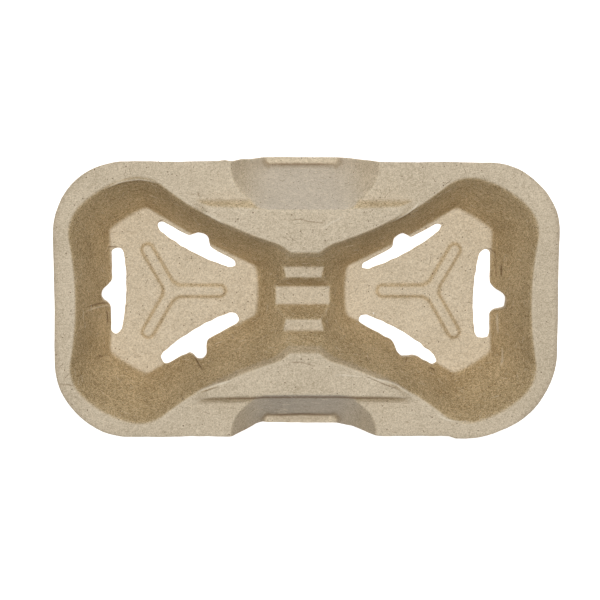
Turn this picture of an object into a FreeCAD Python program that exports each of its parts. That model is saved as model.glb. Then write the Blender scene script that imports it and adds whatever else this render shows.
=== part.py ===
import FreeCAD, Part
import math, os

# Two-cup carrier tray formed as one sheet of moulded paper pulp.
# Millimetres. The tray stands on its cup floors at z = 0, length along X, width along Y.

# Trimmed outline of the rim
length = 214.0
width = 117.4
corner_left_back = 30.0
corner_left_front = 32.0
corner_right_back = 31.0
corner_right_front = 36.0

# Sheet and levels
wall = 2.0
rim_height = 40.0
platform_step = 5.5
platform_height = rim_height + platform_step
edge_round = 1.8

# The trim is a little off the centre of the mould
mould_x = -1.25
mould_y = -0.4

# Cup wells: three lobes with three shallow panels between them
well_offset = 0.2675 * length
lobe_angle = 123.0
rim_reach = 0.2565 * length
rim_crown = 0.2023 * length
rim_shoulder = 0.0757 * length
rim_panel = 0.1832 * length
rim_panel_bow = 0.6776 * length
floor_reach = 0.1794 * length
floor_crown = 0.3271 * length
floor_shoulder = 0.0196 * length
floor_panel = 0.1262 * length
floor_panel_bow = 1.869 * length
floor_round = 3.2

# Raised handle platform across the middle
platform_top_half_y = 0.3365 * width
platform_foot_half_y = platform_top_half_y + 0.636 * platform_step
platform_top_half_x = 0.1893 * length
platform_tip_half_x = platform_top_half_x + 1.09 * platform_step
platform_crown = 0.255 * platform_step
platform_round = 0.4 * platform_step

# Terraced saddle between the cups
saddle_mouth = 0.1819 * width
tread_height = 0.75 * rim_height
tread_outer = 0.1193 * width
tread_inner = 0.0767 * width
saddle_height = 0.4575 * rim_height
saddle_half = 0.0358 * width
saddle_reach = 0.0935 * length

# Finger notch in each long side
notch_lip = 3.2
notch_half = 16.5
notch_back = width / 2 - notch_lip
notch_rim_half = 31.0
notch_rim_back = notch_back - 0.1193 * width
notch_corner = 2.5
notch_rim_corner = 0.1363 * width

# Three-armed rib pressed up in each cup floor
rib_reach = 0.1103 * length
rib_width = 5.0
rib_height = 1.5
rib_fillet = 4.0
rib_round = 0.8

# Drain slot along each panel, with a notch running up the wall
slot_inner = floor_panel - 6.8
slot_outer = floor_panel - 0.7
slot_length = 38.0
slot_bow = 2.2
slot_corner = 1.4
slot_notch_width = 10.6
slot_notch_reach = floor_panel + 3.4
slot_notch_crown = 0.275 * slot_notch_width
slot_notch_flare = 0.8
slot_notch_inset = 1.3
slot_nip = 0.1

# Working levels of the cutting shapes
above = platform_height + 4.0
below = -3.0


def at(level, x, y):
    return FreeCAD.Vector(x, y, level)


def polar(level, radius, angle):
    return at(level, radius * math.cos(angle), radius * math.sin(angle))


def arc_between(centre, radius, start, end):
    middle = (start + end).multiply(0.5).sub(centre)
    middle.normalize()
    return Part.Arc(start, centre + middle.multiply(radius), end).toShape()


def mix(low, high, low_level, high_level, level):
    return low + (high - low) * (level - low_level) / (high_level - low_level)


def lofted(sections):
    return Part.makeLoft(sections, True, True)


def prism(points, direction):
    return Part.Face(Part.makePolygon(points + [points[0]])).extrude(direction)


# Cup wells
def shoulder_centre(level, lobe, panel, crown, shoulder, bow, reach, panel_reach):
    crown_centre = polar(level, reach - crown, lobe)
    bow_centre = polar(level, panel_reach + bow, panel)
    axis = bow_centre.sub(crown_centre)
    span = axis.Length
    axis.normalize()
    to_crown = crown - shoulder
    to_bow = bow + shoulder
    along = (to_crown ** 2 - to_bow ** 2 + span ** 2) / (2 * span)
    aside = math.sqrt(to_crown ** 2 - along ** 2)
    side = FreeCAD.Vector(-axis.y, axis.x, 0) if panel > lobe else FreeCAD.Vector(axis.y, -axis.x, 0)
    foot = crown_centre + axis * along
    choices = [foot + side * aside, foot - side * aside]
    return max(choices, key=lambda c: c.dot(polar(0, 1, lobe))), crown_centre, bow_centre


def well_section(level, crown, shoulder, bow, reach, panel_reach):
    turn = math.radians(lobe_angle)
    lobes = [0.0, turn, 2 * math.pi - turn]
    panels = [turn / 2, math.pi, 2 * math.pi - turn / 2]
    edges = []
    for i in range(3):
        lobe = lobes[i]
        before = panels[i - 1] - (2 * math.pi if i == 0 else 0)
        after = panels[i]
        left, crown_centre, bow_before = shoulder_centre(
            level, lobe, before, crown, shoulder, bow, reach, panel_reach)
        right, crown_centre, bow_after = shoulder_centre(
            level, lobe, after, crown, shoulder, bow, reach, panel_reach)
        following = lobes[(i + 1) % 3] + (2 * math.pi if i == 2 else 0)
        nextleft, next_crown, bow_next = shoulder_centre(
            level, following, after, crown, shoulder, bow, reach, panel_reach)
        a = bow_before + left.sub(bow_before).normalize().multiply(bow)
        b = crown_centre + left.sub(crown_centre).normalize().multiply(crown)
        c = crown_centre + right.sub(crown_centre).normalize().multiply(crown)
        d = bow_after + right.sub(bow_after).normalize().multiply(bow)
        e = bow_next + nextleft.sub(bow_next).normalize().multiply(bow)
        edges.append(arc_between(left, shoulder, a, b))
        edges.append(Part.Arc(b, polar(level, reach, lobe), c).toShape())
        edges.append(arc_between(right, shoulder, c, d))
        edges.append(Part.Arc(d, polar(level, panel_reach, after), e).toShape())
    return Part.Wire(edges)


def well_tool(skin):
    def size(low, high):
        return mix(low, high, wall, rim_height, level)

    def radius(low, high):
        return 1 / size(1 / low, 1 / high)

    slant = skin * math.hypot(1, (rim_panel - floor_panel) / (rim_height - wall))
    bottom = wall - skin
    sections = []
    for level in (bottom, above):
        sections.append(well_section(
            level, radius(floor_crown, rim_crown) + slant, size(floor_shoulder, rim_shoulder) + slant,
            radius(floor_panel_bow, rim_panel_bow) - slant, size(floor_reach, rim_reach) + slant,
            size(floor_panel, rim_panel) + slant))
    tool = lofted(sections)
    foot = [e for e in tool.Edges if e.BoundBox.ZMax < bottom + 0.01]
    return tool.makeFillet(floor_round + skin, foot)


def half_turn(shape):
    turned = shape.copy()
    turned.rotate(at(0, 0, 0), at(1, 0, 0), 180)
    return turned


def both_wells(shape):
    left = shape.copy()
    left.translate(at(0, -well_offset, 0))
    return [left, half_turn(left)]


# Raised platform
def platform_profile(top_half, foot_half, crown, skin):
    run = (foot_half - top_half) / (platform_height - rim_height)
    top = platform_height - crown - skin
    base = rim_height - skin - 1.0
    half = top_half - skin * (math.hypot(1, run) - run)
    return half, top, half + run * (top - base), base


def platform_block(skin):
    half, top, foot, base = platform_profile(platform_top_half_y, platform_foot_half_y, 0.0, skin)
    across = prism([FreeCAD.Vector(-length, -foot, base), FreeCAD.Vector(-length, foot, base),
                    FreeCAD.Vector(-length, half, top), FreeCAD.Vector(-length, -half, top)],
                   FreeCAD.Vector(2 * length, 0, 0))
    half, top, foot, base = platform_profile(platform_top_half_x, platform_tip_half_x, platform_crown, skin)
    corners = [FreeCAD.Vector(-foot, -width, base), FreeCAD.Vector(foot, -width, base),
               FreeCAD.Vector(half, -width, top), FreeCAD.Vector(-half, -width, top)]
    crest = FreeCAD.Vector(0, -width, platform_height - skin)
    outline = [Part.makeLine(corners[0], corners[1]), Part.makeLine(corners[1], corners[2]),
               Part.Arc(corners[2], crest, corners[3]).toShape(), Part.makeLine(corners[3], corners[0])]
    along = Part.Face(Part.Wire(outline)).extrude(FreeCAD.Vector(0, 2 * width, 0))
    return across.common(along)


# Saddle
def saddle_tool(skin):
    upper = (saddle_mouth - tread_outer) / (platform_height - tread_height)
    lower = (tread_inner - saddle_half) / (tread_height - saddle_height)
    tread = tread_height - skin
    seat = saddle_height - skin
    mouth = saddle_mouth + upper * (above - platform_height) + skin * math.hypot(1, upper)
    outer = tread_outer - upper * skin + skin * math.hypot(1, upper)
    inner = tread_inner - lower * skin + skin * math.hypot(1, lower)
    half = saddle_half - lower * skin + skin * math.hypot(1, lower)
    side = [(mouth, above), (outer, tread), (inner, tread), (half, seat)]
    points = [FreeCAD.Vector(-saddle_reach, y, z) for y, z in side]
    points += [FreeCAD.Vector(-saddle_reach, -y, z) for y, z in reversed(side)]
    return prism(points, FreeCAD.Vector(2 * saddle_reach, 0, 0))


# Finger notches
def notch_section(level, skin):
    slope = (notch_rim_half - notch_half) / (rim_height - wall)
    slant = skin * math.hypot(1, slope)
    half = mix(notch_half, notch_rim_half, wall, rim_height, level) + slant
    back = mix(notch_back, notch_rim_back, wall, rim_height, level) - slant
    corner = mix(notch_corner, notch_rim_corner, wall, rim_height, level) + slant
    out = width / 2 + 20.0
    k = corner * (1 - math.sqrt(0.5))
    points = [(-half, out), (-half, back + corner), (-half + k, back + k), (-half + corner, back),
              (half - corner, back), (half - k, back + k), (half, back + corner), (half, out)]
    p = [at(level, x, y) for x, y in points]
    return Part.Wire([Part.makeLine(p[0], p[1]), Part.Arc(p[1], p[2], p[3]).toShape(),
                      Part.makeLine(p[3], p[4]), Part.Arc(p[4], p[5], p[6]).toShape(),
                      Part.makeLine(p[6], p[7]), Part.makeLine(p[7], p[0])])


def notch_tool(skin):
    return lofted([notch_section(wall - skin, skin), notch_section(above, skin)])


# Ribs in the cup floors
def rib_prism(half, reach, low, high):
    turn = 2 * math.pi / 3
    hollow = rib_fillet + rib_width / 2 - half
    tangent = (half + hollow) / math.tan(turn / 2)
    edges = []
    for i in range(3):
        axis = i * turn

        def place(along, side):
            return at(low, along * math.cos(axis) - side * math.sin(axis),
                      along * math.sin(axis) + side * math.cos(axis))
        edges.append(Part.makeLine(place(tangent, -half), place(reach - half, -half)))
        edges.append(Part.Arc(place(reach - half, -half), place(reach, 0), place(reach - half, half)).toShape())
        edges.append(Part.makeLine(place(reach - half, half), place(tangent, half)))
        nearest = (half + hollow) / math.sin(turn / 2) - hollow
        bisector = axis + turn / 2
        nxt = axis + turn
        start = place(tangent, half)
        end = at(low, tangent * math.cos(nxt) + half * math.sin(nxt),
                 tangent * math.sin(nxt) - half * math.cos(nxt))
        edges.append(Part.Arc(start, polar(low, nearest, bisector), end).toShape())
    rib = Part.Face(Part.Wire(edges)).extrude(at(high - low, 0, 0))
    return rib.makeFillet(rib_round, [e for e in rib.Edges if e.BoundBox.ZMin > high - 0.01])


# Drain slots
def slot_tool():
    half = slot_length / 2
    r = slot_corner
    low = slot_inner + slot_bow
    crown = slot_notch_reach - slot_notch_crown
    foot = slot_notch_width / 2 + slot_notch_flare
    brow = slot_notch_width / 2 - slot_notch_inset
    points = [(slot_outer, -half + r), (slot_outer, -foot), (crown, -brow), (slot_notch_reach, 0),
              (crown, brow), (slot_outer, foot), (slot_outer, half - r)]
    p = [at(below, x, y) for x, y in points]
    edges = [Part.makeLine(p[0], p[1]), Part.makeLine(p[1], p[2]),
             Part.Arc(p[2], p[3], p[4]).toShape(), Part.makeLine(p[4], p[5]), Part.makeLine(p[5], p[6]),
             Part.Arc(p[6], at(below, slot_outer - 0.3 * r, half - 0.3 * r),
                      at(below, slot_outer - r, half)).toShape(),
             Part.makeLine(at(below, slot_outer - r, half), at(below, low + r, half)),
             Part.Arc(at(below, low + r, half), at(below, low, half - 0.6 * r),
                      at(below, low - slot_nip, half - 2 * r)).toShape(),
             Part.Arc(at(below, low - slot_nip, half - 2 * r), at(below, slot_inner, 0),
                      at(below, low - slot_nip, -half + 2 * r)).toShape(),
             Part.Arc(at(below, low - slot_nip, -half + 2 * r), at(below, low, -half + 0.6 * r),
                      at(below, low + r, -half)).toShape(),
             Part.makeLine(at(below, low + r, -half), at(below, slot_outer - r, -half)),
             Part.Arc(at(below, slot_outer - r, -half), at(below, slot_outer - 0.3 * r, -half + 0.3 * r),
                      p[0]).toShape()]
    return Part.Face(Part.Wire(edges)).extrude(at(tread_height - below, 0, 0))


# Rim outline
def outline_prism(low, high):
    x = length / 2
    y = width / 2
    corners = [(x, y, corner_right_back, 0), (-x, y, corner_left_back, 90),
               (-x, -y, corner_left_front, 180), (x, -y, corner_right_front, 270)]
    arcs = []
    for cx, cy, r, start in corners:
        centre = at(low, cx - math.copysign(r, cx) - mould_x, cy - math.copysign(r, cy) - mould_y)
        first = centre + polar(0, r, math.radians(start))
        middle = centre + polar(0, r, math.radians(start + 45))
        last = centre + polar(0, r, math.radians(start + 90))
        arcs.append((first, middle, last))
    edges = []
    for i in range(4):
        edges.append(Part.Arc(*arcs[i]).toShape())
        edges.append(Part.makeLine(arcs[i][2], arcs[(i + 1) % 4][0]))
    return Part.Face(Part.Wire(edges)).extrude(at(high - low, 0, 0))


# Picking edges to round
def middle(edge):
    return edge.valueAt((edge.FirstParameter + edge.LastParameter) / 2)


def single(shape):
    return shape.removeSplitter().Solids[0]


def platform_edges(shape):
    return [e for e in shape.Edges if middle(e).z > rim_height - 0.01
            and abs(middle(e).x) < platform_tip_half_x + 1 and abs(middle(e).y) < platform_foot_half_y + 1]


def saddle_edges(shape):
    return [e for e in shape.Edges if abs(middle(e).y) < saddle_mouth + 1 and abs(middle(e).x) < 1
            and middle(e).z > saddle_height - 1 and abs(e.tangentAt(e.FirstParameter).x) > 0.9]


def lip_edges(shape):
    found = []
    for edge in shape.Edges:
        point = middle(edge)
        faces = shape.ancestorsOfType(edge, Part.Face)
        if point.z < saddle_height - 1 or len(faces) != 2:
            continue
        normals = [f.normalAt(*f.Surface.parameter(point)) for f in faces]
        bend = math.degrees(normals[0].getAngle(normals[1]))
        if bend > 25 and min(n.z for n in normals) > 0.05:
            found.append(edge)
    return found


def notches(skin):
    back = notch_tool(skin)
    return [back, half_turn(back)]


# Upper face of the sheet
upper = single(outline_prism(below, rim_height).fuse(platform_block(0.0)))
upper = upper.makeFillet(platform_round, platform_edges(upper))
upper = single(upper.cut(saddle_tool(0.0)))
upper = upper.makeFillet(edge_round, saddle_edges(upper))
for notch in notches(0.0):
    upper = upper.cut(notch)
upper = single(upper)
upper = upper.makeFillet(edge_round, lip_edges(upper))
for well in both_wells(well_tool(0.0)):
    upper = upper.cut(well)
upper = single(upper)
upper = upper.makeFillet(edge_round, lip_edges(upper))
for rib in both_wells(rib_prism(rib_width / 2, rib_reach, wall - 0.5, wall + rib_height)):
    upper = upper.fuse(rib)

# Lower face of the sheet
lower = outline_prism(rim_height - wall, above).cut(platform_block(wall))
for pocket in both_wells(well_tool(wall)) + notches(wall) + [saddle_tool(wall)]:
    lower = lower.fuse(pocket)
hollow = wall / 2
for rib in both_wells(rib_prism(rib_width / 2 - hollow, rib_reach - hollow, below, rib_height)):
    lower = lower.cut(rib)

tray = upper.common(lower)

# Slots
for panel in (180.0, lobe_angle / 2, -lobe_angle / 2):
    slot = slot_tool()
    slot.rotate(at(0, 0, 0), at(1, 0, 0), panel)
    for cut in both_wells(slot):
        tray = tray.cut(cut)

tray = single(tray)
tray.translate(at(0, mould_x, mould_y))

os.makedirs("parts", exist_ok=True)
tray.exportStep("parts/carrier_tray.step")
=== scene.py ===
import math

import bpy
import numpy as np
from mathutils import Matrix, Vector
from mathutils.geometry import delaunay_2d_cdt
from mathutils.kdtree import KDTree


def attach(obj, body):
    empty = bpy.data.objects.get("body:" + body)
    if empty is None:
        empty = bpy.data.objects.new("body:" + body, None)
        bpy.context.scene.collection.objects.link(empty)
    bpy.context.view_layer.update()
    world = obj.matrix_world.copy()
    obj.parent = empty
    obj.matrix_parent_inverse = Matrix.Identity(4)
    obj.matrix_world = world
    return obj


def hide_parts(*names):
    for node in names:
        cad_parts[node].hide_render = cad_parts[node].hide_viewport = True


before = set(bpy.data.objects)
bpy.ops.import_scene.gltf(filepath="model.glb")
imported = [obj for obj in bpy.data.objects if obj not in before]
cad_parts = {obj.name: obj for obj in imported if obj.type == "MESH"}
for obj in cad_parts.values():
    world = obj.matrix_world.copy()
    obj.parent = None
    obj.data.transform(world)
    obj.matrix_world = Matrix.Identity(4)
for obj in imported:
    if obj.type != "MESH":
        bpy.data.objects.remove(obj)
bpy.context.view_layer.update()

MM = 0.001
FAR_OFF = 1e9
TINY = 1e-9

# Sizes in millimetres, the same as the tray's construction
LENGTH, WIDTH = 214.0, 117.4
# Rounded corners counter-clockwise from the right back: side in x, side in y, radius
CORNERS = [(1, 1, 31.0), (-1, 1, 30.0), (-1, -1, 32.0), (1, -1, 36.0)]
# Middle of the moulded shapes, seen from the middle of the nominal rim
MOULD_X, MOULD_Y = -1.25, -0.4
WALL = 2.0
RIM = 40.0

# Platform across the middle; a rise is millimetres up for each millimetre across
PLATFORM = 45.5
PLATFORM_CROWN = 1.4
PLATFORM_HALF_LENGTH = 40.5
PLATFORM_HALF_WIDTH = 39.5
PLATFORM_END_LEVEL = 44.1
PLATFORM_SIDE_RISE = 1.571
PLATFORM_END_RISE = 0.6833

# Saddle between the wells: a seat with a tread on each side of it
SEAT_LEVEL, SEAT_HALF_WIDTH = 18.3, 4.2
TREAD_LEVEL, TREAD_END = 30.0, 14.0
LOWER_RISER, UPPER_RISER = 2.4375, 2.109
SADDLE_HALF_LENGTH, SADDLE_SIDE_RISE = 25.0, 3.0

# Finger notches: half width of the floor, place of its inner edge, and run of the faces for each mm up
NOTCH_HALF_WIDTH, NOTCH_BACK = 16.5, 55.5
NOTCH_SIDE_RUN, NOTCH_BACK_RUN = 0.3816, 0.3684
# The rounded corner between them is a cone: middle and radius at its floor, and their gain for each mm up
NOTCH_CORNER_SIDE, NOTCH_CORNER_SIDE_GAIN = 14.0, 0.0263
NOTCH_CORNER_BACK, NOTCH_CORNER_BACK_GAIN = -2.5, 0.0131
NOTCH_CORNER_RADIUS, NOTCH_CORNER_RADIUS_GAIN = 2.5, 0.3553
# Upright thickness of a notch face, for each mm of the sheet's own thickness
NOTCH_UPRIGHT_WALL = 2.86

# Cup wells: contours at the rim and at the floor
WELL_OFFSET = 57.25
LOBE_ANGLE = math.radians(123.0)
RIM_SHAPE = dict(reach=54.9, crown=43.3, shoulder=16.2, panel=39.2, bow=145.0)
FLOOR_SHAPE = dict(reach=38.4, crown=70.0, shoulder=4.2, panel=27.0, bow=400.0)
ARC_POINTS, BOW_POINTS = 40, 60
DIRECTION_COUNT = 1441
# A wall's sideways slope is worked out as if no nearer to the well's centre than this
LEAST_RADIUS = 5

# Ribs in the cup floors; the sheet's thickness makes their underside narrower
RIB_ANGLES = (0.0, 2.0944, -2.0944)
RIB_LENGTH, RIB_HALF_WIDTH, RIB_HEIGHT = 21.1, 2.5, 1.6
RIB_FOOT, RIB_SIDE, RIB_TAPER, RIB_CORNER = 0.9, 2.1, 0.45, 2.4

# How softly the faces run into each other
SOFT_PLATFORM_SIDE, SOFT_PLATFORM_END, SOFT_PLATFORM_FOOT = 1.3, 1.2, 1.4
SOFT_TREAD, SOFT_SEAT, SOFT_SADDLE_LIP = 2.2, 1.8, 2.1
SOFT_NOTCH_FLOOR, SOFT_NOTCH_LIP = 3.0, 2.2
SOFT_WELL_FLOOR, SOFT_WELL_LIP = 3.4, 2.2
# The wells' lips get 1 mm softer from here outwards, over this length
SOFTER_LIP_START, SOFTER_LIP_LENGTH = 35, 20


def rise(value, start, length):
    """0 up to the start, then rising to 1 over the length."""
    return np.clip((value - start) / length, 0, 1)


# Well contours

def quarter(lobe, panel, shape):
    """Points of a well contour from a lobe's axis to the axis of the panel beside it."""
    def polar(r, a):
        return np.array([r * math.cos(a), r * math.sin(a)])

    crown_centre = polar(shape["reach"] - shape["crown"], lobe)
    bow_centre = polar(shape["panel"] + shape["bow"], panel)
    axis = bow_centre - crown_centre
    span = np.hypot(*axis)
    axis = axis / span
    to_crown, to_bow = shape["crown"] - shape["shoulder"], shape["bow"] + shape["shoulder"]
    along = (to_crown ** 2 - to_bow ** 2 + span ** 2) / (2 * span)
    aside = math.sqrt(to_crown ** 2 - along ** 2)
    normal = np.array([-axis[1], axis[0]])
    centres = [crown_centre + axis * along + normal * aside * s for s in (1, -1)]
    centre = max(centres, key=lambda c: c @ polar(1, lobe))
    from_crown, from_bow = centre - crown_centre, centre - bow_centre
    crown_end = crown_centre + from_crown / np.hypot(*from_crown) * shape["crown"]
    bow_end = bow_centre + from_bow / np.hypot(*from_bow) * shape["bow"]

    def arc(middle, start, end, count):
        a = math.atan2(*(start - middle)[::-1])
        turn = math.atan2(*(end - middle)[::-1]) - a
        turn = (turn + math.pi) % (2 * math.pi) - math.pi
        r = np.hypot(*(start - middle))
        t = a + turn * np.linspace(0, 1, count)
        return middle + r * np.stack([np.cos(t), np.sin(t)], axis=1)

    return np.vstack([arc(crown_centre, polar(shape["reach"], lobe), crown_end, ARC_POINTS),
                      arc(centre, crown_end, bow_end, ARC_POINTS)[1:],
                      arc(bow_centre, bow_end, polar(shape["panel"], panel), BOW_POINTS)[1:]])


def contour_radius(shape):
    """Radius of a well contour as a table over the direction from the well's centre."""
    pieces = []
    for lobe, panel in ((0.0, LOBE_ANGLE / 2), (LOBE_ANGLE, LOBE_ANGLE / 2), (LOBE_ANGLE, math.pi)):
        pieces.append(quarter(lobe, panel, shape))
    half = np.vstack(pieces)
    both = np.vstack([half, half * [1, -1]])
    angle = np.arctan2(both[:, 1], both[:, 0])
    order = np.argsort(angle)
    angle, radius = angle[order], np.hypot(both[:, 0], both[:, 1])[order]
    directions = np.linspace(-math.pi, math.pi, DIRECTION_COUNT)
    table = np.interp(directions, angle, radius, period=2 * math.pi)
    return directions, table


DIRECTIONS, RIM_RADIUS = contour_radius(RIM_SHAPE)
_, FLOOR_RADIUS = contour_radius(FLOOR_SHAPE)
RIM_TURN = np.gradient(RIM_RADIUS, DIRECTIONS)
FLOOR_TURN = np.gradient(FLOOR_RADIUS, DIRECTIONS)


# Unevenness of the sheet

# Shortest and longest of the waves as shares of the size asked for, and the most that one is shifted
SHORTEST_WAVE, LONGEST_WAVE, MOST_SHIFT = 0.7, 1.7, 6.28
# Waves of the felt: height, size and seed
FELT_WAVES = [(0.20, 45, 21), (0.10, 14, 22), (0.045, 5, 23)]
UPPER_FELT, LOWER_FELT = 0.6, 0.7
UPPER_GRAIN = dict(height=0.035, size=2.2, seed=24, count=22)
LOWER_GRAIN = dict(height=0.05, size=2.6, seed=25, count=22)
# The lower face stands up by this much, less where it rests
LOWER_LIFT, MOST_LIFT_AT_REST, REST_LEVEL, LEAST_REST_SHARE = 0.15, 0.35, 1.0, 0.3


def waves(x, y, size, seed, count=14):
    """Smooth random unevenness between about -1 and 1, with features of the given size."""
    rng = np.random.default_rng(seed)
    total = np.zeros_like(x)
    for _ in range(count):
        heading = rng.uniform(0, 2 * math.pi)
        stretch = 2 * math.pi / (size * rng.uniform(SHORTEST_WAVE, LONGEST_WAVE))
        across = x * math.cos(heading) + y * math.sin(heading)
        total += np.sin(stretch * across + rng.uniform(0, MOST_SHIFT))
    return total / math.sqrt(count)


def fine_waves(x, y, height, size, seed, count):
    """Fine unevenness of a face, in millimetres."""
    return height * waves(x, y, size, seed, count)


# A mark is this strong at its two ends, and full after this share of its length
MARK_END, MARK_FADE = 0.25, 1 / 4


def ridge(x, y, points, width, height):
    """A low rounded ridge along a short run of points; a negative height makes a crease."""
    distance = np.full_like(x, FAR_OFF)
    reach = np.zeros_like(x)
    points = np.array(points, float)
    total = np.sum(np.hypot(*np.diff(points, axis=0).T))
    done = 0.0
    for a, b in zip(points[:-1], points[1:]):
        run = b - a
        size = np.hypot(*run)
        t = np.clip(((x - a[0]) * run[0] + (y - a[1]) * run[1]) / size ** 2, 0, 1)
        d = np.hypot(x - a[0] - t * run[0], y - a[1] - t * run[1])
        nearer = d < distance
        reach = np.where(nearer, (done + t * size) / total, reach)
        distance = np.minimum(distance, d)
        done += size
    fade = rise(reach, 0, MARK_FADE) * rise(1 - reach, 0, MARK_FADE)
    return height * np.exp(-(distance / width) ** 2) * (MARK_END + (1 - MARK_END) * fade)


# Kinds of mark in the upper face: half width, height above the sheet, tone from dark (-1) to light (1); the
# light tones are painted highlight on ridges and lips, the dark tones painted shade in cracks and creases,
# and dark specks are dark fibres
RAISED_LIP = dict(width=0.38, height=0.30, tone=1.0)
LIP_SHADOW_CRACK = dict(width=0.32, height=-0.20, tone=-0.7)
FAINT_RIDGE = dict(width=0.30, height=0.13, tone=0.65)
SHORT_CRACK = dict(width=0.29, height=-0.16, tone=-0.85)
DEEP_CRACK = dict(width=0.30, height=-0.26, tone=-1.0)
HAIRLINE = dict(width=0.25, height=-0.12, tone=-0.6)
DARK_SPECK = dict(width=0.22, height=-0.05, tone=-0.85)
STEP_CREASE = dict(width=0.75, height=-0.35, tone=-0.9)
FOOT_CREASE = dict(width=0.62, height=-0.20, tone=-0.65)
# Painted shade on the front notch's foot strip, which curves down away from the light; it has no height
SHADED_NOTCH_FOOT = dict(width=1.30, height=0.0, tone=-0.32)

# Where each mark runs
MARKS = [
    # Rim around the left well
    (RAISED_LIP, [(-83.5, 47.5), (-78.5, 50.0), (-74.5, 51.0), (-69.5, 51.5), (-65.5, 51.0), (-61.5, 50.0)]),
    (HAIRLINE, [(-84.5, 46.5), (-79.5, 49.0), (-74.0, 50.0), (-69.0, 50.5), (-65.0, 50.0)]),
    (HAIRLINE, [(-103.5, -35.5), (-100.5, -35.5), (-97.5, -36.0)]),
    # Platform lips, back left, back right, front left and front right
    (RAISED_LIP, [(-44.0, 38.5), (-40.5, 37.0), (-36.0, 34.5), (-33.5, 33.0)]),
    (RAISED_LIP, [(36.5, 34.0), (40.0, 36.0), (43.0, 37.5), (46.5, 40.0), (48.5, 42.5)]),
    (LIP_SHADOW_CRACK, [(37.5, 33.5), (41.0, 35.0), (44.0, 37.0), (47.0, 39.5)]),
    (RAISED_LIP, [(-47.0, -39.5), (-42.0, -37.0), (-37.5, -35.0), (-31.0, -33.0)]),
    (LIP_SHADOW_CRACK, [(-44.0, -38.5), (-40.0, -37.0), (-36.0, -35.5)]),
    (FAINT_RIDGE, [(11.0, -31.5), (15.0, -30.5), (20.0, -31.0), (25.0, -31.5), (29.0, -33.0), (33.5, -35.0)]),
    (RAISED_LIP, [(28.5, -32.0), (34.5, -33.5), (39.5, -35.5), (44.5, -39.0), (46.5, -41.0)]),
    (LIP_SHADOW_CRACK, [(22.0, -31.0), (27.5, -32.0), (33.0, -34.5), (38.5, -36.5), (43.0, -39.0)]),
    (FAINT_RIDGE, [(56.5, -48.5), (61.0, -51.0), (66.5, -52.0), (72.5, -52.0)]),
    # Platform top and saddle
    (HAIRLINE, [(-8.5, 35.5), (-5.0, 35.0), (-2.0, 35.5), (1.5, 34.5), (6.5, 34.0), (8.5, 34.5)]),
    (FAINT_RIDGE, [(7.0, 31.5), (11.0, 34.0), (16.0, 36.5)]),
    (HAIRLINE, [(-6.5, -25.5), (-2.0, -25.0), (2.0, -26.0), (5.0, -27.0)]),
    # Left well's walls
    (SHORT_CRACK, [(-93.5, -4.0), (-89.5, -4.0), (-87.0, -4.5), (-85.0, -5.5)]),
    (FAINT_RIDGE, [(-93.5, -5.5), (-89.5, -5.5), (-85.5, -6.0), (-84.5, -7.5)]),
    (SHORT_CRACK, [(-86.0, -7.5), (-85.5, -11.5), (-85.5, -15.0)]),
    (HAIRLINE, [(-84.5, -8.5), (-84.5, -12.5), (-84.5, -16.0)]),
    (SHORT_CRACK, [(-89.0, -27.0), (-87.5, -28.5)]),
    (DEEP_CRACK, [(-47.5, -28.0), (-45.5, -30.0), (-43.0, -32.0)]),
    (SHORT_CRACK, [(-63.0, 30.5), (-61.0, 31.5)]),
    (SHORT_CRACK, [(-85.5, 19.5), (-83.0, 19.5), (-80.5, 19.5)]),
    # Right well's walls
    (DEEP_CRACK, [(87.5, 13.0), (87.5, 10.0), (87.5, 7.0)]),
    (HAIRLINE, [(85.5, 13.5), (86.0, 6.5)]),
    (FAINT_RIDGE, [(86.5, -9.0), (86.5, -14.0), (87.0, -18.5)]),
    (FAINT_RIDGE, [(88.5, -23.5), (88.5, -29.0), (87.5, -32.0)]),
    (SHORT_CRACK, [(84.0, -9.0), (88.0, -6.5), (89.5, -5.5)]),
    (SHORT_CRACK, [(45.0, -30.0), (47.0, -28.0)]),
    (SHORT_CRACK, [(82.5, 19.0), (84.0, 18.5), (86.0, 16.5)]),
    (DEEP_CRACK, [(56.5, -33.5), (58.0, -34.0), (59.5, -35.0)]),
    # Dark specks on the rim
    (DARK_SPECK, [(-47.5, 45.5), (-46.5, 45.5)]),
    (DARK_SPECK, [(-45.0, 46.5), (-44.5, 44.5)]),
    # Foot of the platform's front step and of both notches: creases with painted shade, and painted shade on
    # the front notch's foot strip
    (STEP_CREASE, [(-46.5, -41.5), (-30.0, -41.0), (0.0, -41.0), (30.0, -41.0), (46.5, -41.5)]),
    (FOOT_CREASE, [(-17.5, -57.0), (-15.0, -56.0), (0.0, -55.5), (13.5, -56.0), (16.0, -57.5)]),
    (FOOT_CREASE, [(-17.0, 57.5), (-14.5, 56.0), (0.0, 56.0), (13.0, 56.0), (15.5, 57.5)]),
    (SHADED_NOTCH_FOOT, [(-15.0, -57.5), (14.0, -57.5)]),
]


# The formed sheet

def soft_min(a, b, k):
    """The lower of two heights, run into each other softly where they differ by less than k."""
    h = np.clip(k - np.abs(a - b), 0, None) / k
    return np.minimum(a, b) - h * h * k / 4


def soft_max(a, b, k):
    return -soft_min(-a, -b, k)


def slope_plane(distance, slope, level, skin):
    """A plane that rises with distance, with the sheet's thickness taken off square to it."""
    return level + distance * slope - skin * math.hypot(1, slope)


def rib_distance(x, y):
    """Distance from the middle lines of a cup floor's three arms; one arm points along +X."""
    distance = np.full_like(x, FAR_OFF)
    for turn in RIB_ANGLES:
        u = x * math.cos(turn) + y * math.sin(turn)
        v = -x * math.sin(turn) + y * math.cos(turn)
        d = np.hypot(u - np.clip(u, 0, RIB_LENGTH), v)
        distance = soft_min(distance, d, RIB_CORNER)
    return distance


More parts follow.
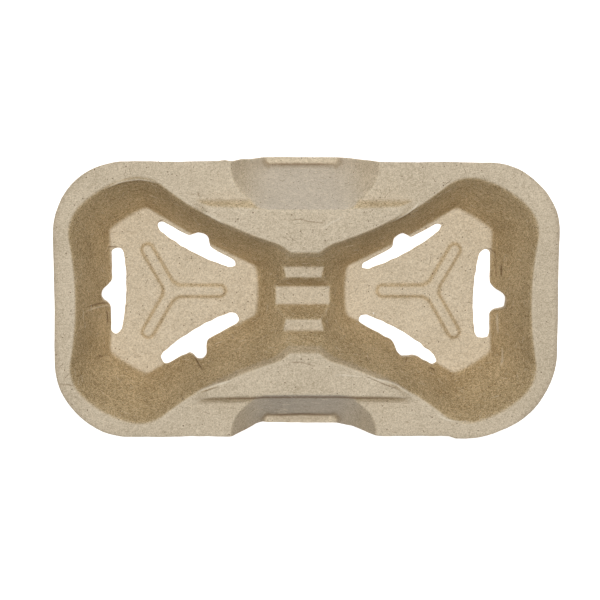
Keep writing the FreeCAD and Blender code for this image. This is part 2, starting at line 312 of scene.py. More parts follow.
def rib_height(x, y, skin):
    """Three arms at 120 degrees, pressed up in a cup floor."""
    half = RIB_HALF_WIDTH - RIB_TAPER * skin
    t = np.clip((half + RIB_FOOT - rib_distance(x, y)) / RIB_SIDE, 0, 1)
    return RIB_HEIGHT * t * t * (3 - 2 * t)


def well(x, y, skin):
    """A cup well around its own centre, from its ribbed floor to past the rim."""
    r = np.hypot(x, y)
    angle = np.arctan2(y, x)
    rim, floor = np.interp(angle, DIRECTIONS, RIM_RADIUS), np.interp(angle, DIRECTIONS, FLOOR_RADIUS)
    rim_turn, floor_turn = np.interp(angle, DIRECTIONS, RIM_TURN), np.interp(angle, DIRECTIONS, FLOOR_TURN)
    run = rim - floor
    t = (r - floor) / run
    steep = (RIM - WALL) / run
    sideways = -(RIM - WALL) * (floor_turn + t * (rim_turn - floor_turn)) / run / np.maximum(r, LEAST_RADIUS)
    wall = WALL + (RIM - WALL) * t - skin * np.sqrt(1 + steep ** 2 + sideways ** 2)
    floor_level = WALL - skin + rib_height(x, y, skin)
    return soft_max(wall, floor_level, SOFT_WELL_FLOOR)


def notch(x, y, skin):
    """Finger notch on the side where y grows, with a rounded corner between its side and its back."""
    u, v = np.abs(x), NOTCH_BACK - y
    side = (u - NOTCH_HALF_WIDTH) / NOTCH_SIDE_RUN
    back = v / NOTCH_BACK_RUN
    side_gain, back_gain = NOTCH_CORNER_SIDE_GAIN, NOTCH_CORNER_BACK_GAIN
    radius_gain = NOTCH_CORNER_RADIUS_GAIN
    beside, behind, radius = u - NOTCH_CORNER_SIDE, v - NOTCH_CORNER_BACK, NOTCH_CORNER_RADIUS
    # height at which the cone's section passes through the point, from a quadratic equation
    qa = side_gain * side_gain + back_gain * back_gain - radius_gain * radius_gain
    qb = -2 * side_gain * beside - 2 * back_gain * behind - 2 * radius * radius_gain
    qc = beside ** 2 + behind ** 2 - radius * radius
    cone = (-qb - np.sqrt(np.maximum(qb * qb - 4 * qa * qc, 0))) / (2 * qa)
    corner = (u > NOTCH_CORNER_SIDE + side_gain * cone) & (v > NOTCH_CORNER_BACK + back_gain * cone)
    level = np.maximum(side, back)
    level = np.where(corner, np.maximum(level, cone), level)
    wall = WALL + level - skin * NOTCH_UPRIGHT_WALL
    return soft_max(wall, np.full_like(x, WALL - skin), SOFT_NOTCH_FLOOR)


def saddle(x, y, skin):
    """The steps between the wells: a seat, a tread on each side and the platform's ends above them."""
    v = np.abs(y)
    seat = np.full_like(x, SEAT_LEVEL - skin)
    tread = np.full_like(x, TREAD_LEVEL - skin)
    lower = slope_plane(v - SEAT_HALF_WIDTH, LOWER_RISER, SEAT_LEVEL, skin)
    upper = slope_plane(v - TREAD_END, UPPER_RISER, TREAD_LEVEL, skin)
    steps = soft_max(seat, soft_min(lower, tread, SOFT_TREAD), SOFT_SEAT)
    beyond = np.clip(np.abs(x) - SADDLE_HALF_LENGTH, 0, None)
    return soft_max(steps, upper, SOFT_SEAT) + SADDLE_SIDE_RISE * beyond


def rim_and_platform(x, y, skin):
    """The flat rim, with the crowned platform standing up from it across the middle."""
    top = PLATFORM - PLATFORM_CROWN * (x / PLATFORM_HALF_LENGTH) ** 2 - skin
    sides = slope_plane(PLATFORM_HALF_WIDTH - np.abs(y), PLATFORM_SIDE_RISE, PLATFORM, skin)
    ends = slope_plane(PLATFORM_HALF_LENGTH - np.abs(x), PLATFORM_END_RISE, PLATFORM_END_LEVEL, skin)
    block = soft_min(soft_min(top, sides, SOFT_PLATFORM_SIDE), ends, SOFT_PLATFORM_END)
    return soft_max(np.full_like(x, RIM - skin), block, SOFT_PLATFORM_FOOT)


def sheet_height(x, y, skin):
    """Height of the sheet's upper face, or with a skin of WALL, of its lower face."""
    height = rim_and_platform(x, y, skin)
    height = soft_min(height, saddle(x, y, skin), SOFT_SADDLE_LIP)
    lip = SOFT_WELL_LIP + rise(np.abs(x), SOFTER_LIP_START, SOFTER_LIP_LENGTH)
    for side in (1, -1):
        height = soft_min(height, notch(x, side * y, skin), SOFT_NOTCH_LIP)
        height = soft_min(height, well(side * x + WELL_OFFSET, side * y, skin), lip)
    return height


# Outline and slots

OUTLINE_STEP, SLOT_STEP = 0.6, 0.5
QUARTER_TURN = 1.5708
# The rim as it was trimmed, inwards of the nominal outline: even part, then height, size and seed of waves
TRIM = 0.22
TRIM_WAVES = [(0.13, 30, 3), (0.035, 6, 4)]
MOST_OUT, MOST_IN = -1.4, 0.8
# Only the long sides past these places bulge
FRONT_SIDE, BACK_SIDE = -50, 50
FRONT_BULGE = dict(start=61, rising=3, end=84, falling=16, out=1.0)
NOTCH_LIP = dict(half=21, falling=5, out=1.3)
# Bumps on the back side: place, half width and how far out
BACK_BUMPS = [(-35, 2.2, 0.6), (-28, 2.5, 0.5)]
# The outermost strip of the rim hangs down, more at the two ends, and only where the sheet is high
DROOP, DROOP_WIDTH = 0.25, 4.5
END_DROOP, END_START, END_LENGTH = 0.45, 80, 20
DROOP_LEVEL, DROOP_RISE = 25, 10


def evenly(points, step):
    """Points a step apart along a closed line."""
    closed = np.vstack([points, points[:1]])
    lengths = np.concatenate([[0], np.cumsum(np.hypot(*np.diff(closed, axis=0).T))])
    at = np.linspace(0, lengths[-1], int(lengths[-1] / step), endpoint=False)
    return np.stack([np.interp(at, lengths, closed[:, 0]), np.interp(at, lengths, closed[:, 1])], axis=1)


def rounded_outline(step):
    """The nominal rim: a rectangle with four different corner radii."""
    x, y = LENGTH / 2, WIDTH / 2
    points = []
    for quadrant, (sx, sy, r) in enumerate(CORNERS):
        start = 90 * quadrant
        for a in np.radians(np.linspace(start, start + 90, int(r * QUARTER_TURN / step))):
            points.append((sx * (x - r) + r * math.cos(a), sy * (y - r) + r * math.sin(a)))
    return evenly(np.array(points), step)


def edge_droop(x, y, level):
    """How far the rim's outermost strip hangs down, most at the two ends."""
    x, y = x + MOULD_X, y + MOULD_Y
    inwards = np.minimum(LENGTH / 2 - np.abs(x), WIDTH / 2 - np.abs(y))
    for sx, sy, r in CORNERS:
        u, v = sx * x - (LENGTH / 2 - r), sy * y - (WIDTH / 2 - r)
        inwards = np.where((u > 0) & (v > 0), r - np.hypot(u, v), inwards)
    most = DROOP + END_DROOP * rise(np.abs(x), END_START, END_LENGTH)
    return most * np.clip(1 - inwards / DROOP_WIDTH, 0, 1) ** 2 * rise(level, DROOP_LEVEL, DROOP_RISE)


def outward(loop):
    """Direction away from the sheet at each point of a closed line."""
    ahead = np.roll(loop, -1, axis=0) - np.roll(loop, 1, axis=0)
    return np.stack([ahead[:, 1], -ahead[:, 0]], axis=1) / np.maximum(np.hypot(*ahead.T), TINY)[:, None]


def trimmed_outline():
    """The rim as it was trimmed: slightly uneven, with a bulge, a longer notch lip and two bumps."""
    line = rounded_outline(OUTLINE_STEP)
    x, y = line.T
    uneven = TRIM
    for height, size, seed in TRIM_WAVES:
        uneven = uneven + height * waves(x, y, size, seed)
    bulge = FRONT_BULGE["out"] * rise(x, FRONT_BULGE["start"], FRONT_BULGE["rising"])
    bulge = bulge * rise(FRONT_BULGE["end"] - x, 0, FRONT_BULGE["falling"])
    lip = NOTCH_LIP["out"] * rise(NOTCH_LIP["half"] - np.abs(x), 0, NOTCH_LIP["falling"])
    bumps = sum(out * np.exp(-((x - place) / half) ** 2) for place, half, out in BACK_BUMPS)
    uneven = uneven - np.where(y < FRONT_SIDE, bulge, 0)
    uneven = uneven - np.where(y < FRONT_SIDE, lip, 0)
    uneven = uneven - np.where(y > BACK_SIDE, bumps, 0)
    line = line - outward(line) * np.clip(uneven, MOST_OUT, MOST_IN)[:, None]
    return line - [MOULD_X, MOULD_Y]


# The six slots: well side, direction, ends, inner edge and its tilt, outer edge on the left and right of the
# notch that runs up the wall, and that notch's place, width and reach
SLOTS = [
    dict(side=-1, turn=180.0, ends=(-18.7, 19.0), inner=20.2, tilt=0.035,
         outer=(26.2, 26.8), notch=0.9, width=10.8, reach=30.4),
    dict(side=-1, turn=61.5, ends=(-19.0, 19.1), inner=19.5, tilt=-0.01,
         outer=(25.0, 25.0), notch=-0.4, width=10.6, reach=29.5),
    dict(side=-1, turn=-61.5, ends=(-18.6, 19.8), inner=20.1, tilt=-0.05,
         outer=(27.5, 26.5), notch=-1.6, width=10.0, reach=31.5),
    dict(side=1, turn=0.0, ends=(-21.0, 18.2), inner=19.4, tilt=0.055,
         outer=(26.5, 26.4), notch=-3.2, width=13.0, reach=31.9),
    dict(side=1, turn=118.5, ends=(-17.8, 21.6), inner=20.1, tilt=-0.02,
         outer=(24.9, 24.9), notch=1.0, width=9.6, reach=29.7),
    dict(side=1, turn=-118.5, ends=(-21.6, 17.8), inner=22.2, tilt=0.06,
         outer=(27.4, 28.3), notch=1.6, width=11.0, reach=30.7),
]
# How much larger a slot is drawn than these sizes, because its cut edge bulges into it
SLOT_END_ALLOWANCE, SLOT_OUTER_ALLOWANCE, SLOT_INNER_ALLOWANCE = 0.35, 0.25, 0.3
SLOT_BOW = 0.0055
INNER_POINTS = 7
POINTS_PER_SPAN = 8
CUT_RAGGEDNESS, CUT_WAVE, CUT_SEEDS = 0.10, 4, (11, 12)


def smooth_loop(p):
    """A smooth closed line through a few points."""
    line = []
    for i in range(len(p)):
        a, b, c, d = p[i - 1], p[i], p[(i + 1) % len(p)], p[(i + 2) % len(p)]
        for t in np.linspace(0, 1, POINTS_PER_SPAN, endpoint=False):
            line.append(0.5 * (2 * b + (c - a) * t + (2 * a - 5 * b + 4 * c - d) * t * t
                               + (3 * b - a - 3 * c + d) * t ** 3))
    return np.array(line)


def slot_outline(slot):
    """Points of one slot around a cup floor, in the mould's own frame."""
    low, high = slot["ends"][0] - SLOT_END_ALLOWANCE, slot["ends"][1] + SLOT_END_ALLOWANCE
    n, half, reach = slot["notch"], slot["width"] / 2, slot["reach"] + SLOT_OUTER_ALLOWANCE
    left, right = slot["outer"][0] + SLOT_OUTER_ALLOWANCE, slot["outer"][1] + SLOT_OUTER_ALLOWANCE

    def inner(v):
        return slot["inner"] - SLOT_INNER_ALLOWANCE + slot["tilt"] * v + SLOT_BOW * v * v

    # the two rounded ends, the outer edge beside the notch, and the notch, each by its few corner points
    corners = [(low + 0.2, inner(low) + 1.2), (low + 2.2, inner(low + 2.2))]
    corners += [(v, inner(v)) for v in np.linspace(low + 4, high - 4, INNER_POINTS)]
    corners += [(high - 2.2, inner(high - 2.2)), (high - 0.2, inner(high) + 1.3), (high - 0.1, right - 1.4)]
    corners += [(high - 1.5, right - 0.1), (high - 5, right)]
    corners += [(n + half + 2.5, right), (n + half, right + 0.3)]
    corners += [(n + 0.72 * half, right + 0.4 * (reach - right)), (n + 0.45 * half, reach - 0.7), (n, reach)]
    corners += [(n - 0.45 * half, reach - 0.7), (n - 0.72 * half, left + 0.4 * (reach - left))]
    corners += [(n - half, left + 0.3), (n - half - 2.5, left)]
    corners += [(low + 5, left), (low + 1.5, left - 0.1), (low + 0.1, left - 1.4)]
    line = evenly(smooth_loop(np.array(corners)), SLOT_STEP)
    ragged = [waves(line[:, 0], line[:, 1], CUT_WAVE, seed) for seed in CUT_SEEDS]
    line += CUT_RAGGEDNESS * np.stack(ragged, axis=1)
    turn = math.radians(slot["turn"])
    out, along = np.array([math.cos(turn), math.sin(turn)]), np.array([-math.sin(turn), math.cos(turn)])
    line = line[:, 1:] * out + line[:, :1] * along + [slot["side"] * WELL_OFFSET, 0]
    turning = np.sum(line[:, 0] * np.roll(line[:, 1], -1) - np.roll(line[:, 0], -1) * line[:, 1])
    return line[::-1] if turning > 0 else line


# Points and triangles

# Distance between points of the upper and lower face; rows lie closer, as in a net of equal triangles
UPPER_STEP, LOWER_STEP, ROW_SHARE = 0.5, 0.72, 0.866
# Every point is kept where the face bends more than this; each is moved at random by a share of the step
BENT, MOVED = 0.16, 0.12
UPPER_SEED, LOWER_SEED = 1, 2
# Room kept beside the outlines as a share of the step, and beside the marks' own points
BESIDE_OUTLINE, BESIDE_MARKS = 0.55, 0.28
MARK_STEP, MARK_CELL = 0.34, 0.26
MARK_ROWS = (-2.0, -1.0, 0.0, 1.0, 2.0)
MERGE_DISTANCE = 1e-7
SMALL_RUN = 1e-12


def inside(points, loop):
    """Whether each point lies inside a closed line, by counting the line's crossings beside it."""
    x, y = points.T
    found = np.zeros(len(points), bool)
    a, b = loop, np.roll(loop, -1, axis=0)
    for (ax, ay), (bx, by) in zip(a, b):
        crosses = (ay > y) != (by > y)
        if crosses.any():
            found ^= crosses & (x < (bx - ax) * (y - ay) / (by - ay + SMALL_RUN) + ax)
    return found


def on_sheet(points, loops):
    """Whether each point lies inside the outline and outside every slot."""
    in_slots = np.any([inside(points, slot) for slot in loops[1:]], axis=0)
    return inside(points, loops[0]) & ~in_slots


def near(points, loops, reach):
    """Whether each point is nearer than reach to a point of the lines."""
    every = np.vstack(loops)
    tree = KDTree(len(every))
    for i, (x, y) in enumerate(every):
        tree.insert((x, y, 0), i)
    tree.balance()
    return np.array([tree.find((x, y, 0))[2] for x, y in points]) < reach


def mark_points():
    """Closely spaced points over every mark, so that the sheet can follow it."""
    found = []
    for kind, line in MARKS:
        width, line = kind["width"], np.array(line)
        for a, b in zip(line[:-1], line[1:]):
            size = np.hypot(*(b - a))
            side = np.array([-(b - a)[1], (b - a)[0]]) / size
            for t in np.arange(0.0, 1.0, MARK_STEP / size):
                found += [a + (b - a) * t + side * width * v for v in MARK_ROWS]
    found = np.array(found)
    cells = np.unique(np.round(found / MARK_CELL).astype(int), axis=0)
    return cells * MARK_CELL


def grid_points(step, skin, loops, seed):
    """Points over the sheet, close together where it bends and wider apart where it is even."""
    rng = np.random.default_rng(seed)
    columns, rows = int(LENGTH / step) + 2, int(WIDTH / step / ROW_SHARE) + 2
    i, j = np.meshgrid(np.arange(columns), np.arange(rows))
    x = (i + 0.5 * (j % 2)) * step - LENGTH / 2 - MOULD_X
    y = j * step * ROW_SHARE - WIDTH / 2 - MOULD_Y
    height = sheet_height(x, y, skin)
    row_step = step * ROW_SHARE
    bend = np.abs(np.gradient(np.gradient(height, step, axis=1), step, axis=1))
    bend += np.abs(np.gradient(np.gradient(height, row_step, axis=0), row_step, axis=0))
    coarse = (i % 2 == 0) & (j % 2 == 0)
    keep = coarse | (bend > BENT)
    points = np.stack([x[keep], y[keep]], axis=1)
    points += rng.uniform(-MOVED, MOVED, points.shape) * step
    if skin == 0.0:
        on_marks = mark_points()
        points = np.vstack([points[~near(points, [on_marks], BESIDE_MARKS)], on_marks])
    points = points[on_sheet(points, loops)]
    return points[~near(points, loops, step * BESIDE_OUTLINE)]


def triangulate(loops, points):
    """Triangles over the points between the outline and the slots, all facing up."""
    verts = np.vstack(loops + [points])
    edges, start = [], 0
    for loop in loops:
        n = len(loop)
        edges += [(start + k, start + (k + 1) % n) for k in range(n)]
        start += n
    out = delaunay_2d_cdt([Vector(p) for p in verts], edges, [], 0, MERGE_DISTANCE, True)
    tris = np.array([f for f in out[2] if len(f) == 3])
    back = np.array([ids[0] if ids else -1 for ids in out[3]])
    tris = back[tris]
    centre = verts[tris].mean(axis=1)
    tris = tris[(tris >= 0).all(axis=1) & on_sheet(centre, loops)]
    a, b, c = verts[tris[:, 0]], verts[tris[:, 1]], verts[tris[:, 2]]
    turn = (b - a)[:, 0] * (c - a)[:, 1] - (b - a)[:, 1] * (c - a)[:, 0]
    tris[turn < 0] = tris[turn < 0][:, ::-1]
    return verts, tris[np.abs(turn) > TINY]


# Faces and finish of the sheet

# A point counts as in a notch where the notch's own surface is within about this of the sheet, and steep,
# and counts for less at the notch's two sides
NOTCH_EDGE, NOTCH_STEEP, NOTCH_STEEP_RUN = 1.5, 0.3, 1.2
NOTCH_SIDE_LOSS, NOTCH_SIDE_START, NOTCH_SIDE_LENGTH = 0.55, 14, 12
# Walls are brown where they are steep, browner fibres together with painted shade of the steep faces, less so
# on the platform's back and front steps and below the sheet
SHADED_WALL_STEEP, SHADED_WALL_STEEP_RUN = 0.2, 1.5
BACK_STEP_LOSS, FRONT_STEP_LOSS, STEP_EDGE = 0.25, 0.45, 2
UNDERSIDE_SHARE = 0.5
# Painted shade along the foot of the ribs' sides: its strength, its distance from the ribs' middle lines and
# its width
RIB_FOOT_SHADE_SHARE, RIB_FOOT_PLACE, RIB_FOOT_WIDTH = 0.75, 2.5, 0.9
# Painted highlight on lips and painted shade in hollows: how far around a point the bend is measured, and the
# bend that counts as full
LIP_REACH, FULL_LIP = 0.8, 0.45
STEEP_LIP_LOSS, STEEP_LIP_START = 0.7, 0.6
SLOPE_REACH = 0.25
# Painted shade on the rim's outermost strip, as strong as it hangs down
EDGE_DROOP_SHADE = 0.35
# Rows of the cut edge: share of the way up, and how far it bulges; then how far its arrises are pressed in
EDGE_ROWS = ((0.78, 0.13), (0.5, 0.2), (0.22, 0.13))
UPPER_ARRIS, LOWER_ARRIS = 0.16, 0.10


def steepness(x, y, skin):
    d = SLOPE_REACH
    return np.hypot(sheet_height(x + d, y, skin) - sheet_height(x - d, y, skin),
                    sheet_height(x, y + d, skin) - sheet_height(x, y - d, skin)) / (2 * d)


def felt_unevenness(x, y):
    return sum(height * waves(x, y, size, seed) for height, size, seed in FELT_WAVES)


def marks(x, y, quality):
    """The height or the tone of all marks together."""
    return sum(ridge(x, y, line, kind["width"], kind[quality]) for kind, line in MARKS)


def mark_tone(x, y):
    """How light or dark the marks are, with painted shade on the rim's hanging edge."""
    return marks(x, y, "tone") - EDGE_DROOP_SHADE * edge_droop(x, y, sheet_height(x, y, 0.0))


def upper_surface(x, y):
    slant = np.sqrt(1 + steepness(x, y, 0.0) ** 2)
    uneven = felt_unevenness(x, y) * UPPER_FELT + fine_waves(x, y, **UPPER_GRAIN) + marks(x, y, "height")
    z = sheet_height(x, y, 0.0)
    return z + uneven * slant - edge_droop(x, y, z)


def lower_surface(x, y):
    z = sheet_height(x, y, WALL)
    up = felt_unevenness(x, y) * LOWER_FELT + fine_waves(x, y, **LOWER_GRAIN) + LOWER_LIFT
    at_rest = np.clip(up, 0, MOST_LIFT_AT_REST) * np.clip(z + MOST_LIFT_AT_REST, LEAST_REST_SHARE, 1)
    return z + np.where(z < REST_LEVEL, at_rest, up) - edge_droop(x, y, z)


def in_notch(x, y, skin):
    """1 on the faces of the finger notches, 0 elsewhere."""
    level = sheet_height(x, y, skin)
    gap = np.minimum(notch(x, y, skin), notch(x, -y, skin)) - level
    steep = rise(steepness(x, y, skin), NOTCH_STEEP, NOTCH_STEEP_RUN)
    middle = 1 - NOTCH_SIDE_LOSS * rise(np.abs(x), NOTCH_SIDE_START, NOTCH_SIDE_LENGTH)
    return np.clip(NOTCH_EDGE - gap, 0, 1) * steep * middle


def rib_foot_shade(x, y):
    """Painted shade: 1 along the foot of the ribs' sides, 0 elsewhere."""
    feet = []
    for side in (1, -1):
        distance = rib_distance(side * x + WELL_OFFSET, side * y)
        feet.append(np.exp(-((distance - RIB_FOOT_PLACE) / RIB_FOOT_WIDTH) ** 2))
    return np.maximum(*feet)


def wall_brown_and_shade_share(x, y, skin):
    """Browner fibres and painted shade: 1 on the steep drawn walls of the wells, 0 on level paper and in the
    notches, half below the sheet.
    """
    t = rise(steepness(x, y, skin), SHADED_WALL_STEEP, SHADED_WALL_STEEP_RUN)
    above_rim = np.clip(STEP_EDGE * (sheet_height(x, y, skin) + skin - RIM), 0, 1)
    step = above_rim * np.where(y > 0, BACK_STEP_LOSS, FRONT_STEP_LOSS)
    wall = t * t * (3 - 2 * t) * (1 - in_notch(x, y, skin)) * (1 - step)
    if skin > 0:
        return UNDERSIDE_SHARE * wall
    return np.maximum(wall, RIB_FOOT_SHADE_SHARE * rib_foot_shade(x, y))


def lip_highlight_and_hollow_shade(x, y, skin):
    """Painted highlight above 0 on rounded lips, painted shade below 0 in hollows, from how the sheet bends.
    """
    d = LIP_REACH
    here = sheet_height(x, y, skin)
    around = sum(sheet_height(x + a, y + b, skin) for a, b in ((d, 0), (-d, 0), (0, d), (0, -d)))
    bend = np.clip((here - around / 4) / FULL_LIP, -1, 1)
    level = 1 - STEEP_LIP_LOSS * rise(steepness(x, y, skin), STEEP_LIP_START, 1)
    return np.where(bend > 0, bend * level, bend)


def cut_edge_rows(loops, top, low):
    """Rows of points around the outline and each slot, between the upper and the lower face."""
    rows, start = [], 0
    for loop in loops:
        n = len(loop)
        upper_z, lower_z = top[start:start + n, 2], low[start:start + n, 2]
        for share, out in EDGE_ROWS:
            rows.append(np.column_stack([loop + outward(loop) * out, lower_z + (upper_z - lower_z) * share]))
        start += n
    return rows


def cut_edge_faces(loops, low_start, row_start):
    """Triangles that join the upper face, the cut edge's rows and the lower face."""
    faces, start = [], 0
    for loop in loops:
        n = len(loop)
        k, following = np.arange(n), (np.arange(n) + 1) % n
        between = [row_start + row * n + k for row in range(len(EDGE_ROWS))]
        bands = [start + k] + between + [low_start + start + k]
        for upper, lower in zip(bands[:-1], bands[1:]):
            faces.append(np.column_stack([upper, lower, lower[following]]))
            faces.append(np.column_stack([upper, lower[following], upper[following]]))
        row_start += len(EDGE_ROWS) * n
        start += n
    return faces


def finish_values(top_xy, low_xy, edge_count):
    """For each point, the values that tell the pulp's finish where it lies."""
    edge = np.zeros(edge_count)
    values = {}
    for name, share in (("wall_brown_and_shade", wall_brown_and_shade_share), ("notch_face", in_notch), ("lip", lip_highlight_and_hollow_shade)):
        values[name] = np.concatenate([share(*top_xy.T, 0.0), share(*low_xy.T, WALL), edge])
    values["mark"] = np.concatenate([mark_tone(*top_xy.T), np.zeros(len(low_xy)), edge])
    return values


def formed_sheet():
    """The whole sheet as one closed mesh in metres: upper face, lower face and cut edges."""
    loops = [trimmed_outline()] + [slot_outline(s) for s in SLOTS]
    border = sum(len(loop) for loop in loops)
    top_xy, top_tris = triangulate(loops, grid_points(UPPER_STEP, 0.0, loops, UPPER_SEED))
    low_xy, low_tris = triangulate(loops, grid_points(LOWER_STEP, WALL, loops, LOWER_SEED))
    top = np.column_stack([top_xy, upper_surface(*top_xy.T)])
    low = np.column_stack([low_xy, lower_surface(*low_xy.T)])
    rows = cut_edge_rows(loops, top, low)
    top[:border, 2] -= UPPER_ARRIS
    low[:border, 2] += LOWER_ARRIS

    verts = np.vstack([top, low] + rows)
    verts = (verts + [MOULD_X, MOULD_Y, 0]) * MM
    faces = [top_tris, low_tris[:, ::-1] + len(top)]
    faces += cut_edge_faces(loops, len(top), len(top) + len(low))
    mesh = bpy.data.meshes.new("carrier_tray_sheet")
    mesh.from_pydata(verts.tolist(), [], np.vstack(faces).tolist())
    for name, values in finish_values(top_xy, low_xy, sum(map(len, rows))).items():
        mesh.attributes.new(name, "FLOAT", "POINT").data.foreach_set("value", values.astype(np.float32))
    mesh.polygons.foreach_set("use_smooth", [True] * len(mesh.polygons))
    return mesh


# Finishes

# The grain runs from the first colour to the second
RIM_PAPER = (0.452, 0.375, 0.262), (0.728, 0.62, 0.468)
# The cup floors' paper is the rim's paper made lighter: painted light, the bounce from the well walls
BOUNCE_LIT_CUP_FLOOR_PAPER = (0.506, 0.4225, 0.30), (0.784, 0.6775, 0.5145)
# The walls' brown paper holds browner fibres and painted shade of the steep walls
BROWN_AND_SHADED_WALL_PAPER = (0.253, 0.172, 0.070), (0.771, 0.603, 0.365)
NOTCH_PAPER = (0.42, 0.36, 0.275), (0.66, 0.575, 0.46)
# The front notch's paper is the back notch's made darker: painted shade, as the light falls from the back
SHADED_FRONT_NOTCH_PAPER = (0.30, 0.255, 0.195), (0.52, 0.445, 0.35)
# Painted highlight on the lips and painted shade in the hollows
PALE_LIP_HIGHLIGHT, DARK_HOLLOW_SHADE = (0.82, 0.72, 0.555), (0.32, 0.22, 0.11)
BROWN_STREAK, PALE_STREAK = (0.24, 0.155, 0.075), (0.84, 0.75, 0.58)
DARK_FLECK, WHITE_FLECK = (0.15, 0.10, 0.06), (0.92, 0.90, 0.86)
# Marks: a painted highlight for ridges and lips, and a dark colour for specks and for painted shade
PALE_RIDGE_HIGHLIGHT, DARK_SPECK_AND_SHADE = (0.92, 0.84, 0.69), (0.17, 0.10, 0.045)
PULP_ROUGHNESS, PULP_SHINE = 0.92, 0.18

# Grain: scale, detail and roughness of its noises, and how they are mixed
FINE_GRAIN, MIDDLE_GRAIN, BROAD_GRAIN = (1750.0, 4.0, 0.8), (620.0, 3.0, 0.6), (55.0, 2.0, 0.5)
FINE_SHARE, MIDDLE_SHARE, BROAD_SHARE = 0.8, 0.2, 0.10
GRAIN_DARK, GRAIN_PALE = 0.41, 0.59
# Heights in metres between which the cup floors' lighter paper, painted bounce light, gives way to the rim's
FLOOR_PAPER_END, RIM_PAPER_START = 0.008, 0.030
NOTCH_CHANGE = 0.02

# Streaks: turn, and scale along, across and through the sheet
BROWN_STREAKS = [((0.2, 0.1, 0.4), (560.0, 3300.0, 2300.0)), ((0.1, 0.3, 1.5), (520.0, 3300.0, 2300.0)),
                 ((0.3, 0.2, 2.5), (600.0, 3400.0, 2300.0))]
PALE_STREAKS = (0.1, 0.2, 0.9), (520.0, 3300.0, 2300.0)
STREAK_BEND, STREAK_DETAIL = 0.5, 2.0
# Flecks: scale, size as a share of their spacing, and share of the places that have one
DARK_FLECKS, SMALL_DARK_FLECKS, WHITE_FLECKS = (300.0, 0.11, 0.22), (560.0, 0.17, 0.24), (130.0, 0.05, 0.10)
# A fleck is full out to this share of its size, and the choice of the places is this sharp
FLECK_EDGE, FLECK_CHOICE = 0.6, 0.01
# Where each begins and is full, and how much of its colour it takes at those two
LIP_HIGHLIGHT_SPAN, HOLLOW_SHADE_SPAN = (0.12, 0.8, 0.0, 0.50), (-0.12, -0.8, 0.0, 0.60)
BROWN_SPAN, PALE_SPAN = (0.655, 0.75, 0.0, 0.60), (0.60, 0.70, 0.0, 0.50)
PALE_RIDGE_HIGHLIGHT_SPAN, DARK_SPECK_AND_SHADE_SPAN = (0.05, 1.0, 0.0, 0.70), (-0.05, -0.8, 0.0, 0.80)
BUMP_STRENGTH, BUMP_DISTANCE, STREAK_BUMP = 0.7, 0.0004, 0.9


class Tree:
    """A node tree, and short ways to add to it."""

    def __init__(self, tree):
        self.nodes, self.links = tree.nodes, tree.links

    def add(self, kind, **inputs):
        node = self.nodes.new(kind)
        for name, value in inputs.items():
            self.put(node.inputs[name.replace("_", " ")], value)
        return node

    def put(self, socket, value):
        if isinstance(value, bpy.types.NodeSocket):
            self.links.new(value, socket)
        elif socket.type == "RGBA":
            socket.default_value = (*value, 1.0)
        else:
            socket.default_value = value

    def maths(self, kind, a, b):
        node = self.nodes.new("ShaderNodeMath")
        node.operation = kind
        for socket, value in zip(node.inputs, (a, b)):
            self.put(socket, value)
        return node.outputs["Value"]


class Finish(Tree):
    """The node tree of a finish, laid out on the object's own coordinates."""

    def __init__(self, tree):
        super().__init__(tree)
        self.place = self.nodes.new("ShaderNodeTexCoord").outputs["Object"]

    def noise(self, scale, detail, rough):
        node = self.add("ShaderNodeTexNoise", Vector=self.place, Scale=scale, Detail=detail, Roughness=rough)
        return node.outputs["Fac"]

    def streaks(self, turn, scale):
        """Streaks that run one way, for fibres."""
        turned = self.add("ShaderNodeMapping", Vector=self.place, Rotation=turn, Scale=scale)
        node = self.add("ShaderNodeTexNoise", Vector=turned.outputs["Vector"], Scale=1.0,
                        Detail=STREAK_DETAIL, Distortion=STREAK_BEND)
        return node.outputs["Fac"]

    def flecks(self, scale, size, share):
        """Round flecks in some of the places of a loose grid."""
        cells = self.add("ShaderNodeTexVoronoi", Vector=self.place, Scale=scale)
        colour = self.add("ShaderNodeSeparateColor", Color=cells.outputs["Color"])
        chosen = self.ramp(colour.outputs["Red"], share, share + FLECK_CHOICE, 1.0, 0.0)
        dot = self.ramp(cells.outputs["Distance"], size * FLECK_EDGE, size, 1.0, 0.0)
        return self.maths("MULTIPLY", dot, chosen)

    def ramp(self, value, start, end, low, high):
        node = self.nodes.new("ShaderNodeMapRange")
        node.clamp = True
        for name, number in zip(("Value", "From Min", "From Max", "To Min", "To Max"),
                                (value, start, end, low, high)):
            self.put(node.inputs[name], number)
        return node.outputs["Result"]

    def mixed(self, share, a, b):
        node = self.nodes.new("ShaderNodeMix")
        node.data_type = "RGBA"
        self.put(node.inputs["Factor"], share)
        for socket in node.inputs:
            if socket.type == "RGBA":
                self.put(socket, a if socket.name == "A" else b)
        return [socket for socket in node.outputs if socket.type == "RGBA"][0]

    def tinted(self, colour, value, span, tint):
        """The colour, going over into the tint as the value goes through its span."""
        return self.mixed(self.ramp(value, *span), colour, tint)

    def own_value(self, name):
        node = self.nodes.new("ShaderNodeAttribute")
        node.attribute_name = name
        return node.outputs["Fac"]


def plain_material(name, **inputs):
    """A new material and its shader, with the given values on the shader's own sockets."""
    material = bpy.data.materials.new(name)
    material.use_nodes = True
    shader = material.node_tree.nodes["Principled BSDF"]
    for socket, value in inputs.items():
        shader.inputs[socket.replace("_", " ")].default_value = value
    return material, shader


